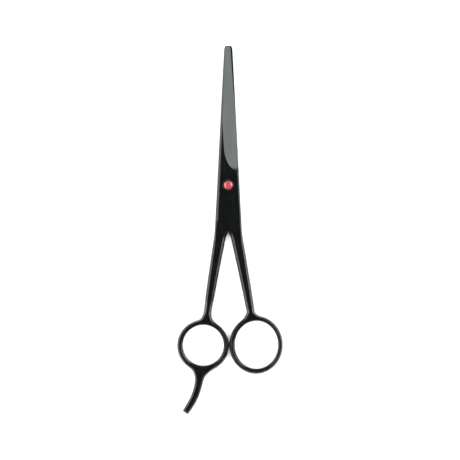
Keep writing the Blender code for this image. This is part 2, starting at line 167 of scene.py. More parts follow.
def block(name: str, low: tuple, high: tuple) -> Thing:
    """Makes a box cutter between two corners."""
    middle = [(a + b) / 2 for a, b in zip(low, high)]
    bpy.ops.mesh.primitive_cube_add(size=1.0, location=middle)
    item = bpy.context.object
    item.name = name
    item.scale = [b - a for a, b in zip(low, high)]
    bake_place(item)
    return item


def rod(name: str, radius: float, low: float, high: float, sides: int = 96) -> Thing:
    """Makes an upright round cutter on the Z axis."""
    bpy.ops.mesh.primitive_cylinder_add(
        vertices=sides, radius=radius, depth=high - low, location=(0, 0, (low + high) / 2),
    )
    item = bpy.context.object
    item.name = name
    bake_place(item)
    return item


def trim(item: Thing, point: tuple, normal: tuple) -> None:
    """Cuts an object with a plane, drops what is on the normal's side and closes the cut."""
    with editing(item):
        bpy.ops.mesh.select_all(action="SELECT")
        bpy.ops.mesh.bisect(plane_co=point, plane_no=normal, use_fill=True, clear_outer=True)


# ------------------------------------------------------------------ finishes


class Slot(Enum):
    """The record's material slots."""

    COATED_STEEL = "coated_steel"
    SCREW_STEEL = "screw_steel"
    RED_STONE = "red_stone"
    NYLON = "nylon"
    SPRING_STEEL = "spring_steel"
    STOP_RUBBER = "stop_rubber"


class Nodes:
    """A small writer of shader nodes for one material."""

    def __init__(self, name: str) -> None:
        """Starts a material with a Principled shader."""
        self.material = bpy.data.materials.new(name)
        self.material.use_nodes = True
        self.tree = self.material.node_tree
        self.shader = self.tree.nodes["Principled BSDF"]

    def add(self, kind: str, **settings: object) -> bpy.types.Node:
        """Adds a node; names that are sockets get values, the others are properties."""
        node = self.tree.nodes.new(kind)
        for name, value in settings.items():
            label = name.replace("_", " ").title()
            if label in node.inputs:
                node.inputs[label].default_value = value
            else:
                setattr(node, name, value)
        return node

    def link(self, start: Socket, end: Socket) -> None:
        """Joins two sockets."""
        self.tree.links.new(start, end)

    def set(self, **values: object) -> None:
        """Sets sockets of the shader itself."""
        for name, value in values.items():
            self.shader.inputs[name.replace("_", " ")].default_value = value

    def place(self, stretch: tuple = (1, 1, 1), turn: float = 0.0) -> Socket:
        """Object coordinates, turned about Z in degrees and then stretched on each axis."""
        coordinates = self.add("ShaderNodeTexCoord")
        turned = self.add("ShaderNodeMapping", Rotation=(0, 0, radians(turn)))
        mapping = self.add("ShaderNodeMapping", Scale=stretch)
        self.link(coordinates.outputs["Object"], turned.inputs["Vector"])
        self.link(turned.outputs["Vector"], mapping.inputs["Vector"])
        return mapping.outputs["Vector"]

    def noise(self, place: Socket, scale: float, detail: float = 3.0) -> Socket:
        """A noise pattern on a given place."""
        node = self.add("ShaderNodeTexNoise", Scale=scale, Detail=detail)
        self.link(place, node.inputs["Vector"])
        return node.outputs["Fac"]

    def math(self, operation: str, first: object, second: object) -> Socket:
        """Works out one value from two, each a socket or a number."""
        node = self.add("ShaderNodeMath", operation=operation)
        for entry, value in zip(node.inputs, (first, second)):
            if isinstance(value, Socket):
                self.link(value, entry)
            else:
                entry.default_value = value
        return node.outputs["Value"]

    def spread(
        self, source: Socket, low: float, high: float, start: float = PATTERN_LOW, end: float = PATTERN_HIGH,
    ) -> Socket:
        """Maps the part of a pattern between start and end to the range from low to high."""
        node = self.add("ShaderNodeMapRange")
        for name, value in (("From Min", start), ("From Max", end), ("To Min", low), ("To Max", high)):
            node.inputs[name].default_value = value
        self.link(source, node.inputs["Value"])
        return node.outputs["Result"]

    def tint(self, source: Socket, dark: tuple, light: tuple) -> None:
        """Colours the base between two colours by a pattern."""
        ramp = self.add("ShaderNodeValToRGB")
        ramp.color_ramp.elements[0].position = PATTERN_LOW
        ramp.color_ramp.elements[1].position = PATTERN_HIGH
        ramp.color_ramp.elements[0].color = (*dark, 1.0)
        ramp.color_ramp.elements[1].color = (*light, 1.0)
        self.link(source, ramp.inputs["Fac"])
        self.link(ramp.outputs["Color"], self.shader.inputs["Base Color"])

    def bump(self, height: Socket, strength: float, depth: float) -> None:
        """Raises a fine relief, after any relief that is there already."""
        node = self.add("ShaderNodeBump", Strength=strength, Distance=depth)
        self.link(height, node.inputs["Height"])
        normal = self.shader.inputs["Normal"]
        if normal.is_linked:
            self.link(normal.links[0].from_socket, node.inputs["Normal"])
        self.link(node.outputs["Normal"], normal)


@dataclass(frozen=True)
class CoatedSteel:
    """Black hard coating over polished steel: nearly black, with a clear gloss and hairline marks."""

    name: str = "black_coated_steel"
    dark: tuple = (0.0008, 0.0010, 0.0009)
    light: tuple = (0.0022, 0.0026, 0.0024)
    gloss_tint: tuple = (0.93, 1.0, 1.0, 1.0)
    ior: float = 1.75
    roughness: tuple = (0.16, 0.26)
    cloud_scale: float = 180.0
    hairline: tuple = (2600, 60, 900)  # stretch of the pattern on each axis
    hairline_relief: float = 0.35
    hairline_depth: float = 0.0025 * MM
    scratch: tuple = (5200, 110, 900)
    scratch_turns: tuple = (14.0, -32.0)  # degrees from the blade's line
    scratch_peaks: tuple = (0.69, 0.75)
    scratch_dulling: float = 0.07

    def build(self) -> bpy.types.Material:
        """Writes the material.

        Returns:
            The finished material.
        """
        nodes = Nodes(self.name)
        nodes.set(IOR=self.ior, Specular_Tint=self.gloss_tint)
        cloud = nodes.noise(nodes.place(), self.cloud_scale, 4.0)
        nodes.tint(cloud, self.dark, self.light)
        hairline = nodes.noise(nodes.place(self.hairline), 1.0, 5.0)
        gloss = nodes.spread(hairline, *self.roughness)
        for turn in self.scratch_turns:
            scratch = nodes.noise(nodes.place(self.scratch, turn), 1.0, 2.0)
            dulling = nodes.spread(scratch, 0.0, self.scratch_dulling, *self.scratch_peaks)
            gloss = nodes.math("ADD", gloss, dulling)
        nodes.link(gloss, nodes.shader.inputs["Roughness"])
        nodes.bump(hairline, self.hairline_relief, self.hairline_depth)
        return nodes.material


@dataclass(frozen=True)
class TurnedSteel:
    """Turned and blackened, or bright, screw steel with round tool marks about the pivot axis."""

    name: str
    dark: tuple
    light: tuple
    metallic: float
    roughness: tuple = (0.22, 0.34)
    cloud_scale: float = 500.0
    tool_marks: float = 2600.0
    chatter: float = 0.6
    mark_relief: float = 0.3
    mark_depth: float = 0.004 * MM

    def build(self) -> bpy.types.Material:
        """Writes the material.

        Returns:
            The finished material.
        """
        nodes = Nodes(self.name)
        nodes.set(Metallic=self.metallic)
        cloud = nodes.noise(nodes.place(), self.cloud_scale)
        nodes.tint(cloud, self.dark, self.light)
        rings = nodes.add(
            "ShaderNodeTexWave", wave_type="RINGS", rings_direction="Z",
            Scale=self.tool_marks, Distortion=self.chatter,
        )
        nodes.link(nodes.place(), rings.inputs["Vector"])
        nodes.link(nodes.spread(cloud, *self.roughness), nodes.shader.inputs["Roughness"])
        nodes.bump(rings.outputs["Fac"], self.mark_relief, self.mark_depth)
        return nodes.material


@dataclass(frozen=True)
class RedStone:
    """Clear red glass stone on a bright foil back; painted reflections in its colour make its facets
    alternate darker and lighter.
    """

    name: str = "red_stone"
    # deep and bright are the ends of the stone's colour; painted facet reflections and random noise move it
    # between them.
    deep: tuple = (0.19, 0.010, 0.018)
    bright: tuple = (0.36, 0.05, 0.06)
    roughness: float = 0.06
    ior: float = 1.62
    coat: float = 0.7
    coat_roughness: float = 0.03
    # Painted reflections: the number of facet sectors, the width of each ring of facets, and how much lighter
    # alternate facets are painted.
    facets: int = 16
    tier: float = 0.75 * MM
    facet_reflection_contrast: float = 0.5
    glow_scale: float = 1400.0
    glow: float = 0.9

    def build(self) -> bpy.types.Material:
        """Writes the material.

        Returns:
            The finished material.
        """
        nodes = Nodes(self.name)
        nodes.set(
            Roughness=self.roughness, IOR=self.ior, Coat_Weight=self.coat, Coat_Roughness=self.coat_roughness,
        )
        place = nodes.place()
        axes = nodes.add("ShaderNodeSeparateXYZ")
        nodes.link(place, axes.inputs["Vector"])
        # Painted reflections: sectors about the axis and rings outwards alternate dark and light, standing in
        # for light off the facets; random noise is added on top.
        turn = nodes.math("ARCTAN2", axes.outputs["Y"], axes.outputs["X"])
        sectors = nodes.math("FLOOR", nodes.math("MULTIPLY", turn, self.facets / (2 * pi)), 0.0)
        radius = nodes.add("ShaderNodeVectorMath", operation="LENGTH")
        nodes.link(place, radius.inputs[0])
        tiers = nodes.math("FLOOR", nodes.math("DIVIDE", radius.outputs["Value"], self.tier), 0.0)
        halves = nodes.math("MULTIPLY", nodes.math("ADD", sectors, tiers), 0.5)
        facets = nodes.math("MULTIPLY", nodes.math("FRACT", halves, 0.0), self.facet_reflection_contrast)
        glow = nodes.math("MULTIPLY", nodes.noise(place, self.glow_scale, 1.0), self.glow)
        nodes.tint(nodes.math("ADD", facets, glow), self.deep, self.bright)
        return nodes.material


@dataclass(frozen=True)
class Moulded:
    """A plain moulded polymer: fine grain, slight mottling."""

    name: str
    dark: tuple
    light: tuple
    roughness: tuple
    cloud_scale: float = 900.0
    grain_scale: float = 6000.0
    grain_relief: float = 0.4
    grain_depth: float = 0.01 * MM

    def build(self) -> bpy.types.Material:
        """Writes the material.

        Returns:
            The finished material.
        """
        nodes = Nodes(self.name)
        grain = nodes.noise(nodes.place(), self.grain_scale, 2.0)
        cloud = nodes.noise(nodes.place(), self.cloud_scale, 2.0)
        nodes.tint(cloud, self.dark, self.light)
        nodes.link(nodes.spread(cloud, *self.roughness), nodes.shader.inputs["Roughness"])
        nodes.bump(grain, self.grain_relief, self.grain_depth)
        return nodes.material


def dress(piece: Thing, material: bpy.types.Material, slot: Slot, body: str, *nodes: str) -> None:
    """Gives a finished piece its finish, its place in the frame and the CAD nodes it stands for.

    Args:
        piece: The finished piece, with its place in its mesh.
        material: Its finish.
        slot: The record's slot of that finish; not used.
        body: The CAD body that it moves with.
        nodes: The CAD nodes that it stands for.
    """
    piece.data.materials.clear()
    piece.data.materials.append(material)
    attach(piece, body)
    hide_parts(*nodes)
    LOG.info("%s: %d faces, rides on %s", piece.name, len(piece.data.polygons), body)


# ------------------------------------------------------------------ the two forgings


@dataclass(frozen=True)
class Heights:
    """The levels of the stack, read from the frame."""

    floor: float = 0.0
    top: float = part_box("finger_blade")[1].z
    gap: float = 0.10 * MM  # between the two plates

    @property
    def middle(self) -> float:
        """The mating plane."""
        return (self.floor + self.top) / 2

    @property
    def plate(self) -> float:
        """The underside of the upper plate."""
        return self.middle + self.gap / 2


@dataclass(frozen=True)
class Ring:
    """A finger ring, drawn on the right: its centre, its hole's half sizes, its band and its neck."""

    x: float
    y: float
    hole_x: float
    hole_y: float
    band: float
    neck: float
    hole_shift: tuple = (0.0, 0.0)
    segments: int = 24

    @property
    def swell(self) -> float:
        """How much larger the cage is than the smooth ring that it gives."""
        return 3 / (2 + cos(2 * pi / self.segments))

    def top_at(self, x: float) -> float:
        """Height of the ring's outer side above a place across it."""
        wide, tall = self.hole_x + self.band, self.hole_y + self.band
        return self.y + tall * sqrt(1 - ((x - self.x) / wide) ** 2)


@dataclass(frozen=True)
class Station:
    """A row across the finger rest: its middle from the ring's centre, its width and its turn."""

    x: float
    y: float
    width: float
    turn: float


@dataclass
class Half:
    """One forged half, drawn as the upper one with its ring on the right.

    Places along the shears are heights above the pivot, so they fall from the tip to the shank.
    """

    name: str
    ring: Ring
    rest: tuple = ()
    heights: Heights = field(default_factory=Heights)
    tip: float = 70.3 * MM
    pivot_half_width: float = 5.62 * MM
    tip_half_width: float = 2.03 * MM
    tip_edge: float = 1.1 * MM
    edge_inset: float = 0.12 * MM
    edge_curve_start: float = 36.0 * MM
    heel: float = 7.7 * MM
    heel_step: float = 0.35 * MM
    plate_foot: float = -19.5 * MM
    shoulder: float = -17.6 * MM
    crotch: float = -23.2 * MM
    crotch_curve: tuple = (  # place along and left side, in millimetres
        (-24.8, 0.55), (-24.1, 0.05), (-23.4, -1.6), (-22.6, -4.6), (-21.6, -6.72),
    )
    shank_top: float = -25.9 * MM
    shank_x: float = 4.15 * MM
    shank_width: float = 6.0 * MM
    neck_width: float = 4.0 * MM
    neck_lean: float = 0.3 * MM
    neck_flare: float = 0.55 * MM
    bow: float = 0.15 * MM
    chamfer: float = 1.25 * MM
    rim_shares: tuple = (  # from, to, and the share of the chamfer on the left and the right rim
        (-1.0, -64.0 * MM, 0.68, 0.68),
        (-64.0 * MM, -26.0 * MM, 1.0, 1.0),
        (-26.0 * MM, -19.6 * MM, 1.0, 0.15),
        (-19.6 * MM, 20.0 * MM, 1.0, 0.66),
        (20.0 * MM, 50.0 * MM, 0.82, 0.4),
        (50.0 * MM, 1.0, 0.64, 0.3),
    )
    grind_slope: float = 0.33  # fall of the ground face, across to the edge
    grind_taper: float = 0.0223  # and along to the tip
    ridge_x: float = -2.63 * MM
    ridge_y: float = 25.0 * MM
    runout: float = 18.0 * MM  # where the wheel begins to lift out
    lift_radius: float = 55.0 * MM
    lift_angle: float = radians(7.3)
    wheel: float = 14.0 * MM
    wheel_angle: float = radians(50)
    wheel_depth: float = 12.0 * MM
    hollow_radius: float = 42.0 * MM
    hollow_margin: float = 3.0 * MM
    land_at_heel: float = 0.7 * MM
    land_at_tip: float = 0.5 * MM
    edge_break: float = 0.16 * MM
    edge_break_start: float = 0.4 * MM
    edge_break_length: float = 16.0 * MM
    spine_at_tip: float = 1.35 * MM  # from the mating plane to the face
    thinning_start: float = 22.0 * MM
    far: float = 60.0 * MM  # beyond the half's sides
    creases: tuple = (  # from, to, and how sharp the chamfer's lines stay
        (-19.7 * MM, 1.0, 1.0),
        (-28.1 * MM, -19.3 * MM, 0.85),
        (-64.0 * MM, -27.9 * MM, 0.75),
        (-1.0, -63.9 * MM, 0.55),
    )

    # --- lines of the outline

    def spine(self, y: float) -> float:
        """The spine line, left of the pivot, as x at y."""
        share = y / self.tip
        return -(self.pivot_half_width + (self.tip_half_width - self.pivot_half_width) * share)

    def edge(self, y: float) -> float:
        """The cutting edge: beside the other spine, then curving in to the tip."""
        along = max(0.0, (y - self.edge_curve_start) / (self.tip - self.edge_curve_start))
        drop = self.tip_half_width - self.edge_inset - self.tip_edge
        return -self.spine(y) - self.edge_inset - drop * (1 - (1 - along) ** 2)

    def outer_side(self, y: float) -> float:
        """The right side below the plate, which swings out from the spine's line to the shank."""
        swing = self.shank_x + self.shank_width / 2 + self.spine(self.shank_top)
        share = (self.plate_foot - y) / (self.plate_foot - self.shank_top)
        return -self.spine(y) + swing * share**1.5

    def shank_row(self, y: float) -> tuple[float, float, float]:
        """A row across the shank.

        Args:
            y: Its place along the shears.

        Returns:
            Its place along, its left side and its right side.
        """
        neck_x = self.ring.x - self.ring.neck
        neck_y = self.ring.top_at(neck_x)
        share = (y - self.shank_top) / (neck_y - self.shank_top)
        middle = self.shank_x + (neck_x - self.shank_x) * share + self.bow * 4 * share * (1 - share)
        width = self.shank_width + (self.neck_width - self.shank_width) * share
        return y, middle - width / 2, middle + width / 2

    def rows(self) -> list[tuple[float, float, float]]:
        """All rows from the neck up to the tip, as place along, left side, right side."""
        neck_y = self.ring.top_at(self.ring.x - self.ring.neck)
        rows = []
        for above, flare in ((1.3 * MM, self.neck_flare), (2.8 * MM, 0.0)):
            y, left, right = self.shank_row(neck_y + above)
            rows.append((y, left - flare, right + flare))
        rows += [self.shank_row(y * MM) for y in (-60.0, -54.0, -48.0, -42.0, -36.0, -31.0, -28.0)]
        rows.append(self.shank_row(self.shank_top))
        rows += [(y * MM, left * MM, self.outer_side(y * MM)) for y, left in self.crotch_curve]
        plate = (self.plate_foot, -14.0 * MM, -7.0 * MM, 0.0, 4.5 * MM, self.heel - 1.1 * MM)
        rows += [(y, self.spine(y), -self.spine(y)) for y in plate]
        step = self.heel - self.heel_step
        rows.append((step, self.spine(step), -self.spine(step)))
        rows.append((self.heel, self.spine(self.heel), self.edge(self.heel) - self.heel_step * 0.6))
        above_heel = self.heel + 0.5 * MM
        rows.append((above_heel, self.spine(above_heel), self.edge(above_heel) - self.heel_step * 0.5))
        blade = (11.0, 17.0, 24.0, 32.0, 40.0, 47.0, 53.0, 58.5, 63.0, 66.6, 68.7)
        rows += [(y * MM, self.spine(y * MM), self.edge(y * MM)) for y in blade]
        rows.append((self.tip, self.spine(self.tip) + 0.35 * MM, self.edge(self.tip) - 0.3 * MM))
        return rows

    # --- the blank

    def lay_row(
        self, item: Thing, middle: Vector, width: float, turn: float = 0.0, flatten: bool = False,
    ) -> None:
        """Pulls a new row out of the selected one and lays it in place.

        Args:
            item: The cage, in edit mode.
            middle: Middle of the new row.
            width: Its width.
            turn: How far it turns from the last row, anticlockwise.
            flatten: Whether a curved row is made straight first.
        """
        bpy.ops.mesh.extrude_region_move()
        places = picked_places(item)
        ends = max(((a, b) for a in places for b in places), key=lambda pair: (pair[0] - pair[1]).length)
        centre = (ends[0] + ends[1]) / 2
        if flatten:
            bpy.ops.transform.resize(value=(1, 0, 1), center_override=centre)
            old = abs(ends[0].x - ends[1].x)
        else:
            old = (ends[0] - ends[1]).length
        bpy.ops.transform.resize(value=(width / old, width / old, 1), center_override=centre)
        if turn:
            bpy.ops.transform.rotate(value=-turn, orient_axis="Z", center_override=centre)
        bpy.ops.transform.translate(value=middle - centre)

    def flat_cage(self) -> Thing:
        """Draws the half as one flat sheet of quads: ring, shank, plate, blade and finger rest.

        Returns:
            The sheet, at the floor.
        """
        ring = self.ring
        lean = -asin((ring.neck + self.neck_lean) / (ring.hole_x + ring.band))
        bpy.ops.mesh.primitive_circle_add(vertices=ring.segments, radius=1.0, rotation=(0, 0, -lean))
        cage = bpy.context.object
        bake_place(cage)
        cage.name = self.name
        cage.location = (ring.x, ring.y, 0)
        cage.scale = (ring.hole_x * ring.swell, ring.hole_y * ring.swell, 1)
        bake_place(cage)
        centre = Vector((ring.x, ring.y, 0))
        with editing(cage):
            bpy.ops.mesh.select_all(action="SELECT")
            bpy.ops.mesh.extrude_region_move()
            grow = ((ring.hole_x + ring.band) / ring.hole_x, (ring.hole_y + ring.band) / ring.hole_y, 1)
            bpy.ops.transform.resize(value=grow, center_override=centre)
            outer = self.outer_corners(cage)
            pick(cage, lambda place: all((place - corner).length > NEAR for corner in outer))
            bpy.ops.transform.translate(value=(*ring.hole_shift, 0))
            neck_x = ring.neck + self.neck_lean
            neck_angle = atan2(ring.top_at(ring.x - neck_x) - ring.y, -neck_x)
            self.pick_span(cage, outer, neck_angle, 3)
            for number, (y, left, right) in enumerate(self.rows()):
                self.lay_row(cage, Vector(((left + right) / 2, y, 0)), right - left, flatten=number == 0)
            if self.rest:
                self.pick_span(cage, outer, self.rest_angle(), 4)
                for number, (row, turn) in enumerate(zip(self.rest, self.turns())):
                    middle = centre + Vector((row.x, row.y, 0))
                    self.lay_row(cage, middle, row.width, turn, flatten=number == 0)
        return cage

    def outer_corners(self, cage: Thing) -> list[Vector]:
        """Gives the corners on the outer side of the ring's strip."""
        ring = self.ring
        limit = (1 + ring.swell * (1 + ring.band / ring.hole_x)) / 2

        def reach(place: Vector) -> float:
            """How far out a corner is, where the hole's rim is at 1."""
            return sqrt(((place.x - ring.x) / ring.hole_x) ** 2 + ((place.y - ring.y) / ring.hole_y) ** 2)

        return [place for place in picked_places(cage) if reach(place) > limit]

    def pick_span(self, cage: Thing, corners: list[Vector], angle: float, count: int) -> None:
        """Selects the corners of the ring's strip that lie nearest to a direction."""
        ring = self.ring

        def away(place: Vector) -> float:
            """How far a corner is turned from the direction."""
            turn = atan2(place.y - ring.y, place.x - ring.x) - angle
            return abs((turn + pi) % (2 * pi) - pi)

        near = sorted(corners, key=away)[:count]
        pick(cage, lambda place: any((place - corner).length < NEAR for corner in near))

    def rest_angle(self) -> float:
        """Direction from the ring's centre to the root of the finger rest."""
        return atan2(self.rest[0].y, self.rest[0].x)

    def turns(self) -> list[float]:
        """How far each row of the finger rest turns from the one before."""
        angles = [0.0, *(radians(row.turn) for row in self.rest)]
        return [after - before for before, after in zip(angles, angles[1:])]

    def blank(self) -> Thing:
        """Thickens the flat cage, chamfers its rims, tapers it to the tip and subdivides it.

        Returns:
            The smooth forged blank, not yet milled or ground.
        """
        cage = self.flat_cage()
        with editing(cage):
            bpy.ops.mesh.select_all(action="SELECT")
            bpy.ops.mesh.normals_make_consistent(inside=False)
        if cage.data.polygons[0].normal.z < 0:
            cage.data.flip_normals()
        apply_modifier(cage, "SOLIDIFY", thickness=self.heights.top, offset=1.0)
        with editing(cage):
            for low, high, *shares in self.rim_shares:
                for side, share in zip((-1, 1), shares):
                    pick_edges(cage, lambda edge: self.rim_side(edge) == side and low < middle_y(edge) < high)
                    bpy.ops.transform.edge_bevelweight(value=share)
        apply_modifier(
            cage, "BEVEL", width=self.chamfer, segments=1, limit_method="WEIGHT", use_clamp_overlap=False,
        )
        with editing(cage):
            self.taper(cage)
            for low, high, crease in self.creases:
                pick_edges(cage, lambda edge: self.is_chamfer_line(edge, low, high))
                bpy.ops.transform.edge_crease(value=crease)
        apply_modifier(cage, "SUBSURF", levels=3, render_levels=3, subdivision_type="CATMULL_CLARK")
        return cage

    def rim_side(self, edge: Edge) -> int:
        """Tells an edge of the upper or lower rim: -1 faces left, 1 faces right, 0 is no rim."""
        level = abs(edge.verts[0].co.z - edge.verts[1].co.z) < NEAR
        sides = [face for face in edge.link_faces if abs(face.normal.z) < 0.5]
        if not level or len(sides) != 1:
            return 0
        return 1 if sides[0].normal.x > 0 else -1

    def is_chamfer_line(self, edge: Edge, low: float, high: float) -> bool:
        """Whether an edge bounds the chamfer, between two places along the shears."""
        slanted = [face for face in edge.link_faces if 0.1 < abs(face.normal.z) < 0.95]
        inside = all(low < corner.co.y < high for corner in edge.verts)
        return inside and len(slanted) == 1 and len(edge.link_faces) == 2

    def taper(self, cage: Thing) -> None:
        """Thins the blade towards its tip, about the mating plane."""
        middle = self.heights.middle
        whole = self.heights.top - middle - self.spine_at_tip
        for y in sorted({round(row[0], 6) for row in self.rows() if row[0] > self.thinning_start}):
            drop = whole * ((y - self.thinning_start) / (self.tip - self.thinning_start)) ** 2
            for side in (-1, 1):
                pick(cage, lambda place: self.on_row(place, y) and (place.z - middle) * side > 0)
                bpy.ops.transform.translate(value=(0, 0, -side * drop))

    def on_row(self, place: Vector, y: float) -> bool:
        """Whether a corner belongs to the row at a place along the blade."""
        nearest = min((row[0] for row in self.rows()), key=lambda row: abs(row - place.y))
        return abs(nearest - y) < 0.001 * MM

    # --- machining

    def shoulder_plane(self, side: int) -> tuple[tuple, tuple]:
        """The slanting plane where a plate ends and the other half's shank begins.

        Args:
            side: 1 for the slant down to the left, -1 for its mirror image.

        Returns:
            A point of the plane and its normal, which points up and out over the plate.
        """
        run = -self.spine(self.shoulder)
        rise = self.shoulder - self.crotch
        return (0, self.crotch, 0), (-side * rise, run, 0)

    def mill(self, blank: Thing) -> None:
        """Mills the mating plane up to the shoulder, and ends the plate at the other shank."""
        gap = self.heights.gap
        low = (-self.far, self.crotch - gap, -BEYOND)
        mating = block("mating_mill", low, (self.far, 2 * self.far, self.heights.plate))
        point, normal = self.shoulder_plane(1)
        trim(mating, (gap, point[1] - gap, 0), (-normal[0], -normal[1], 0))
        combine(blank, mating, "DIFFERENCE")
        end = block("plate_end", (-self.far, -self.far, -BEYOND), (-gap / 2, 0, self.heights.top + BEYOND))
        point, normal = self.shoulder_plane(-1)
        trim(end, point, normal)
        combine(blank, end, "DIFFERENCE")
        self.break_edge(blank, -1, self.heights.top)
        self.break_edge(blank, 1, self.heights.floor)

    def break_edge(self, blank: Thing, side: int, level: float) -> None:
        """Breaks the sharp edge along a shoulder with a small chamfer.

        Args:
            blank: The half.
            side: -1 for the shoulder on the left, 1 for the one on the right.
            level: Height of the edge.
        """
        start = Vector((side * self.edge_break_start, self.crotch, 0))
        run, rise = -self.spine(self.shoulder), self.shoulder - self.crotch
        along = Vector((side * run, rise, 0)).normalized()
        corner = Vector((self.edge_break_length / 2, self.edge_break, self.edge_break))
        file = block("edge_file", -corner, corner)
        middle = start + Vector((0, start.x * side * rise / run, 0)) + along * self.edge_break_length / 2
        file.rotation_euler = (pi / 4, 0, atan2(along.y, along.x))
        file.location = (middle.x, middle.y, level)
        bake_place(file)
        combine(blank, file, "DIFFERENCE")

    def grind(self, blank: Thing) -> None:
        """Grinds the large face: a flat pass from the tip, then the wheel lifts out at the heel."""
        start = self.runout - self.ridge_y
        bpy.ops.mesh.primitive_plane_add(size=2.0, location=(0, start + self.far, 0))
        wheel = bpy.context.object
        wheel.scale = (self.far / 2, self.far, 1)
        bake_place(wheel)
        with editing(wheel):
            pick(wheel, lambda place: place.y < start + MM)
            middle = Vector((0, start, self.lift_radius))
            bpy.ops.mesh.spin(steps=8, angle=self.lift_angle, center=middle, axis=(1, 0, 0))
            towards = Vector((0, sin(self.lift_angle), cos(self.lift_angle)))
            middle -= towards * (self.lift_radius - self.wheel)
            bpy.ops.mesh.spin(steps=28, angle=self.wheel_angle, center=middle, axis=(1, 0, 0))
            bpy.ops.mesh.select_all(action="SELECT")
            bpy.ops.mesh.normals_make_consistent(inside=False)
        if wheel.data.polygons[0].normal.z < 0:
            wheel.data.flip_normals()
        apply_modifier(wheel, "SOLIDIFY", thickness=self.wheel_depth, offset=1.0)
        wheel.rotation_euler = (-atan(self.grind_taper), atan(self.grind_slope), 0)
        wheel.location = (self.ridge_x, self.ridge_y, self.heights.top)
        bake_place(wheel)
        combine(blank, wheel, "DIFFERENCE")

    def hollow(self, blank: Thing) -> None:
        """Hollows the inside of the blade a little, which leaves a riding line along the edge."""
        radius, start, end = self.hollow_radius, self.heel + self.hollow_margin, self.tip - self.hollow_margin
        length = end - start
        bpy.ops.mesh.primitive_cylinder_add(
            vertices=720, radius=radius, depth=length, rotation=(pi / 2, 0, 0),
        )
        stone = bpy.context.object
        bake_place(stone)
        low_half = (self.edge(start) - self.spine(start)) / 2 - self.land_at_heel
        high_half = (self.edge(end) - self.spine(end)) / 2 - self.land_at_tip
        low_depth, high_depth = low_half**2 / (2 * radius), high_half**2 / (2 * radius)
        low_x = (self.edge(start) + self.spine(start)) / 2
        high_x = (self.edge(end) + self.spine(end)) / 2
        stone.rotation_euler = (-atan((low_depth - high_depth) / length), 0, -atan((high_x - low_x) / length))
        depth = (low_depth + high_depth) / 2
        stone.location = ((low_x + high_x) / 2, (start + end) / 2, self.heights.plate + depth - radius)
        bake_place(stone)
        combine(blank, stone, "DIFFERENCE")

    def turn_over(self, piece: Thing) -> None:
        """Turns a finished half over about the line along Y at mid height."""
        piece.rotation_euler = (0, pi, 0)
        piece.location = (0, 0, 2 * self.heights.middle)
        bake_place(piece)

    def build(self) -> Thing:
        """Makes the half up to its bores.

        Returns:
            The forging, as the upper half.
        """
        piece = self.blank()
        self.mill(piece)
        self.grind(piece)
        self.hollow(piece)
        return piece


